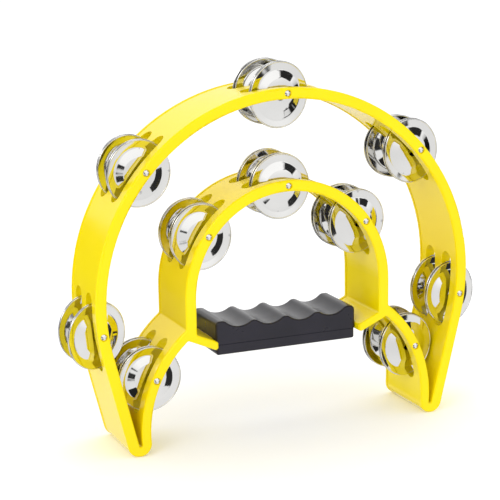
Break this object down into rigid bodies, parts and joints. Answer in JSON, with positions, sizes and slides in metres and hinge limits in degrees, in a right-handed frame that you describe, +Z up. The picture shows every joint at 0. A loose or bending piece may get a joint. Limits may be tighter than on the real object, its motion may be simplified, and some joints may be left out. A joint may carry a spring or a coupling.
{
  "type": "half-moon tambourine",
  "caption": "Hand-held half-moon tambourine: a moulded double-arch frame with a ribbed hand grip, and pairs of loose metal jingles on pins in slots along both arches.",
  "frame": {"origin": "centre of the bounding box, at the height of the two tips that the frame stands on", "axes": "+X to the right, +Y to the back along the jingle pins, +Z up through the tops of both arches"},
  "size_m": [0.2896, 0.052, 0.2397],
  "materials": {
    "frame": "gloss",
    "grip": "satin",
    "jingle": "polished",
    "pin": "polished",
    "screw": "plain"
  },
  "bodies": {
    "frame": {"frame": "frame", "pin_outer_top": "pin", "pin_inner_top": "pin", "pin_outer_upper_left": "pin", "pin_outer_upper_right": "pin", "pin_outer_lower_left": "pin", "pin_outer_lower_right": "pin", "pin_inner_left": "pin", "pin_inner_right": "pin", "pin_horn_left": "pin", "pin_horn_right": "pin", "grip_upper": "grip", "grip_lower": "grip", "grip_screws": "screw"},
    "jingle_outer_top_front_fore": {"jingle_outer_top_front_fore": "jingle"},
    "jingle_outer_top_front_aft": {"jingle_outer_top_front_aft": "jingle"},
    "jingle_outer_top_back_fore": {"jingle_outer_top_back_fore": "jingle"},
    "jingle_outer_top_back_aft": {"jingle_outer_top_back_aft": "jingle"},
    "jingle_inner_top_front_fore": {"jingle_inner_top_front_fore": "jingle"},
    "jingle_inner_top_front_aft": {"jingle_inner_top_front_aft": "jingle"},
    "jingle_inner_top_back_fore": {"jingle_inner_top_back_fore": "jingle"},
    "jingle_inner_top_back_aft": {"jingle_inner_top_back_aft": "jingle"},
    "jingle_outer_upper_left_front_fore": {"jingle_outer_upper_left_front_fore": "jingle"},
    "jingle_outer_upper_left_front_aft": {"jingle_outer_upper_left_front_aft": "jingle"},
    "jingle_outer_upper_left_back_fore": {"jingle_outer_upper_left_back_fore": "jingle"},
    "jingle_outer_upper_left_back_aft": {"jingle_outer_upper_left_back_aft": "jingle"},
    "jingle_outer_upper_right_front_fore": {"jingle_outer_upper_right_front_fore": "jingle"},
    "jingle_outer_upper_right_front_aft": {"jingle_outer_upper_right_front_aft": "jingle"},
    "jingle_outer_upper_right_back_fore": {"jingle_outer_upper_right_back_fore": "jingle"},
    "jingle_outer_upper_right_back_aft": {"jingle_outer_upper_right_back_aft": "jingle"},
    "jingle_outer_lower_left_front_fore": {"jingle_outer_lower_left_front_fore": "jingle"},
    "jingle_outer_lower_left_front_aft": {"jingle_outer_lower_left_front_aft": "jingle"},
    "jingle_outer_lower_left_back_fore": {"jingle_outer_lower_left_back_fore": "jingle"},
    "jingle_outer_lower_left_back_aft": {"jingle_outer_lower_left_back_aft": "jingle"},
    "jingle_outer_lower_right_front_fore": {"jingle_outer_lower_right_front_fore": "jingle"},
    "jingle_outer_lower_right_front_aft": {"jingle_outer_lower_right_front_aft": "jingle"},
    "jingle_outer_lower_right_back_fore": {"jingle_outer_lower_right_back_fore": "jingle"},
    "jingle_outer_lower_right_back_aft": {"jingle_outer_lower_right_back_aft": "jingle"},
    "jingle_inner_left_front_fore": {"jingle_inner_left_front_fore": "jingle"},
    "jingle_inner_left_front_aft": {"jingle_inner_left_front_aft": "jingle"},
    "jingle_inner_left_back_fore": {"jingle_inner_left_back_fore": "jingle"},
    "jingle_inner_left_back_aft": {"jingle_inner_left_back_aft": "jingle"},
    "jingle_inner_right_front_fore": {"jingle_inner_right_front_fore": "jingle"},
    "jingle_inner_right_front_aft": {"jingle_inner_right_front_aft": "jingle"},
    "jingle_inner_right_back_fore": {"jingle_inner_right_back_fore": "jingle"},
    "jingle_inner_right_back_aft": {"jingle_inner_right_back_aft": "jingle"},
    "jingle_horn_left_front_fore": {"jingle_horn_left_front_fore": "jingle"},
    "jingle_horn_left_front_aft": {"jingle_horn_left_front_aft": "jingle"},
    "jingle_horn_left_back_fore": {"jingle_horn_left_back_fore": "jingle"},
    "jingle_horn_left_back_aft": {"jingle_horn_left_back_aft": "jingle"},
    "jingle_horn_right_front_fore": {"jingle_horn_right_front_fore": "jingle"},
    "jingle_horn_right_front_aft": {"jingle_horn_right_front_aft": "jingle"},
    "jingle_horn_right_back_fore": {"jingle_horn_right_back_fore": "jingle"},
    "jingle_horn_right_back_aft": {"jingle_horn_right_back_aft": "jingle"}
  },
  "joints": [
    {"name": "outer_top_front_fore_slide", "type": "slide", "parent": "frame", "child": "jingle_outer_top_front_fore", "axis": [0, 1, 0], "range_m": [-0.0006, 0.0002]},
    {"name": "outer_top_front_aft_slide", "type": "slide", "parent": "frame", "child": "jingle_outer_top_front_aft", "axis": [0, 1, 0], "range_m": [-0.0002, 0.0006]},
    {"name": "outer_top_back_fore_slide", "type": "slide", "parent": "frame", "child": "jingle_outer_top_back_fore", "axis": [0, 1, 0], "range_m": [-0.0019, 0.0002]},
    {"name": "outer_top_back_aft_slide", "type": "slide", "parent": "frame", "child": "jingle_outer_top_back_aft", "axis": [0, 1, 0], "range_m": [-0.0002, 0.0019]},
    {"name": "inner_top_front_fore_slide", "type": "slide", "parent": "frame", "child": "jingle_inner_top_front_fore", "axis": [0, 1, 0], "range_m": [-0.0017, 0.0002]},
    {"name": "inner_top_front_aft_slide", "type": "slide", "parent": "frame", "child": "jingle_inner_top_front_aft", "axis": [0, 1, 0], "range_m": [-0.0002, 0.0017]},
    {"name": "inner_top_back_fore_slide", "type": "slide", "parent": "frame", "child": "jingle_inner_top_back_fore", "axis": [0, 1, 0], "range_m": [-0.0014, 0.0002]},
    {"name": "inner_top_back_aft_slide", "type": "slide", "parent": "frame", "child": "jingle_inner_top_back_aft", "axis": [0, 1, 0], "range_m": [-0.0002, 0.0014]},
    {"name": "outer_upper_left_front_fore_slide", "type": "slide", "parent": "frame", "child": "jingle_outer_upper_left_front_fore", "axis": [0, 1, 0], "range_m": [-0.0017, 0.0002]},
    {"name": "outer_upper_left_front_aft_slide", "type": "slide", "parent": "frame", "child": "jingle_outer_upper_left_front_aft", "axis": [0, 1, 0], "range_m": [-0.0002, 0.0018]},
    {"name": "outer_upper_left_back_fore_slide", "type": "slide", "parent": "frame", "child": "jingle_outer_upper_left_back_fore", "axis": [0, 1, 0], "range_m": [-0.0003, 0.0002]},
    {"name": "outer_upper_left_back_aft_slide", "type": "slide", "parent": "frame", "child": "jingle_outer_upper_left_back_aft", "axis": [0, 1, 0], "range_m": [-0.0002, 0.0009]},
    {"name": "outer_upper_right_front_fore_slide", "type": "slide", "parent": "frame", "child": "jingle_outer_upper_right_front_fore", "axis": [0, 1, 0], "range_m": [-0.0015, 0.0002]},
    {"name": "outer_upper_right_front_aft_slide", "type": "slide", "parent": "frame", "child": "jingle_outer_upper_right_front_aft", "axis": [0, 1, 0], "range_m": [-0.0002, 0.001]},
    {"name": "outer_upper_right_back_fore_slide", "type": "slide", "parent": "frame", "child": "jingle_outer_upper_right_back_fore", "axis": [0, 1, 0], "range_m": [-0.0016, 0.0002]},
    {"name": "outer_upper_right_back_aft_slide", "type": "slide", "parent": "frame", "child": "jingle_outer_upper_right_back_aft", "axis": [0, 1, 0], "range_m": [-0.0002, 0.0017]},
    {"name": "outer_lower_left_front_fore_slide", "type": "slide", "parent": "frame", "child": "jingle_outer_lower_left_front_fore", "axis": [0, 1, 0], "range_m": [-0.001, 0.0002]},
    {"name": "outer_lower_left_front_aft_slide", "type": "slide", "parent": "frame", "child": "jingle_outer_lower_left_front_aft", "axis": [0, 1, 0], "range_m": [-0.0002, 0.0004]},
    {"name": "outer_lower_left_back_fore_slide", "type": "slide", "parent": "frame", "child": "jingle_outer_lower_left_back_fore", "axis": [0, 1, 0], "range_m": [-0.0009, 0.0002]},
    {"name": "outer_lower_left_back_aft_slide", "type": "slide", "parent": "frame", "child": "jingle_outer_lower_left_back_aft", "axis": [0, 1, 0], "range_m": [-0.0002, 0.0006]},
    {"name": "outer_lower_right_front_fore_slide", "type": "slide", "parent": "frame", "child": "jingle_outer_lower_right_front_fore", "axis": [0, 1, 0], "range_m": [-0.001, 0.0002]},
    {"name": "outer_lower_right_front_aft_slide", "type": "slide", "parent": "frame", "child": "jingle_outer_lower_right_front_aft", "axis": [0, 1, 0], "range_m": [-0.0002, 0.0012]},
    {"name": "outer_lower_right_back_fore_slide", "type": "slide", "parent": "frame", "child": "jingle_outer_lower_right_back_fore", "axis": [0, 1, 0], "range_m": [-0.001, 0.0002]},
    {"name": "outer_lower_right_back_aft_slide", "type": "slide", "parent": "frame", "child": "jingle_outer_lower_right_back_aft", "axis": [0, 1, 0], "range_m": [-0.0002, 0.0011]},
    {"name": "inner_left_front_fore_slide", "type": "slide", "parent": "frame", "child": "jingle_inner_left_front_fore", "axis": [0, 1, 0], "range_m": [-0.0013, 0.0002]},
    {"name": "inner_left_front_aft_slide", "type": "slide", "parent": "frame", "child": "jingle_inner_left_front_aft", "axis": [0, 1, 0], "range_m": [-0.0002, 0.0017]},
    {"name": "inner_left_back_fore_slide", "type": "slide", "parent": "frame", "child": "jingle_inner_left_back_fore", "axis": [0, 1, 0], "range_m": [-0.0015, 0.0002]},
    {"name": "inner_left_back_aft_slide", "type": "slide", "parent": "frame", "child": "jingle_inner_left_back_aft", "axis": [0, 1, 0], "range_m": [-0.0002, 0.0016]},
    {"name": "inner_right_front_fore_slide", "type": "slide", "parent": "frame", "child": "jingle_inner_right_front_fore", "axis": [0, 1, 0], "range_m": [-0.0015, 0.0002]},
    {"name": "inner_right_front_aft_slide", "type": "slide", "parent": "frame", "child": "jingle_inner_right_front_aft", "axis": [0, 1, 0], "range_m": [-0.0002, 0.0009]},
    {"name": "inner_right_back_fore_slide", "type": "slide", "parent": "frame", "child": "jingle_inner_right_back_fore", "axis": [0, 1, 0], "range_m": [-0.0018, 0.0002]},
    {"name": "inner_right_back_aft_slide", "type": "slide", "parent": "frame", "child": "jingle_inner_right_back_aft", "axis": [0, 1, 0], "range_m": [-0.0002, 0.0019]},
    {"name": "horn_left_front_fore_slide", "type": "slide", "parent": "frame", "child": "jingle_horn_left_front_fore", "axis": [0, 1, 0], "range_m": [-0.0019, 0.0002]},
    {"name": "horn_left_front_aft_slide", "type": "slide", "parent": "frame", "child": "jingle_horn_left_front_aft", "axis": [0, 1, 0], "range_m": [-0.0002, 0.002]},
    {"name": "horn_left_back_fore_slide", "type": "slide", "parent": "frame", "child": "jingle_horn_left_back_fore", "axis": [0, 1, 0], "range_m": [-0.0015, 0.0002]},
    {"name": "horn_left_back_aft_slide", "type": "slide", "parent": "frame", "child": "jingle_horn_left_back_aft", "axis": [0, 1, 0], "range_m": [-0.0002, 0.0018]},
    {"name": "horn_right_front_fore_slide", "type": "slide", "parent": "frame", "child": "jingle_horn_right_front_fore", "axis": [0, 1, 0], "range_m": [-0.0016, 0.0002]},
    {"name": "horn_right_front_aft_slide", "type": "slide", "parent": "frame", "child": "jingle_horn_right_front_aft", "axis": [0, 1, 0], "range_m": [-0.0002, 0.0014]},
    {"name": "horn_right_back_fore_slide", "type": "slide", "parent": "frame", "child": "jingle_horn_right_back_fore", "axis": [0, 1, 0], "range_m": [-0.0019, 0.0002]},
    {"name": "horn_right_back_aft_slide", "type": "slide", "parent": "frame", "child": "jingle_horn_right_back_aft", "axis": [0, 1, 0], "range_m": [-0.0002, 0.0017]}
  ]
}
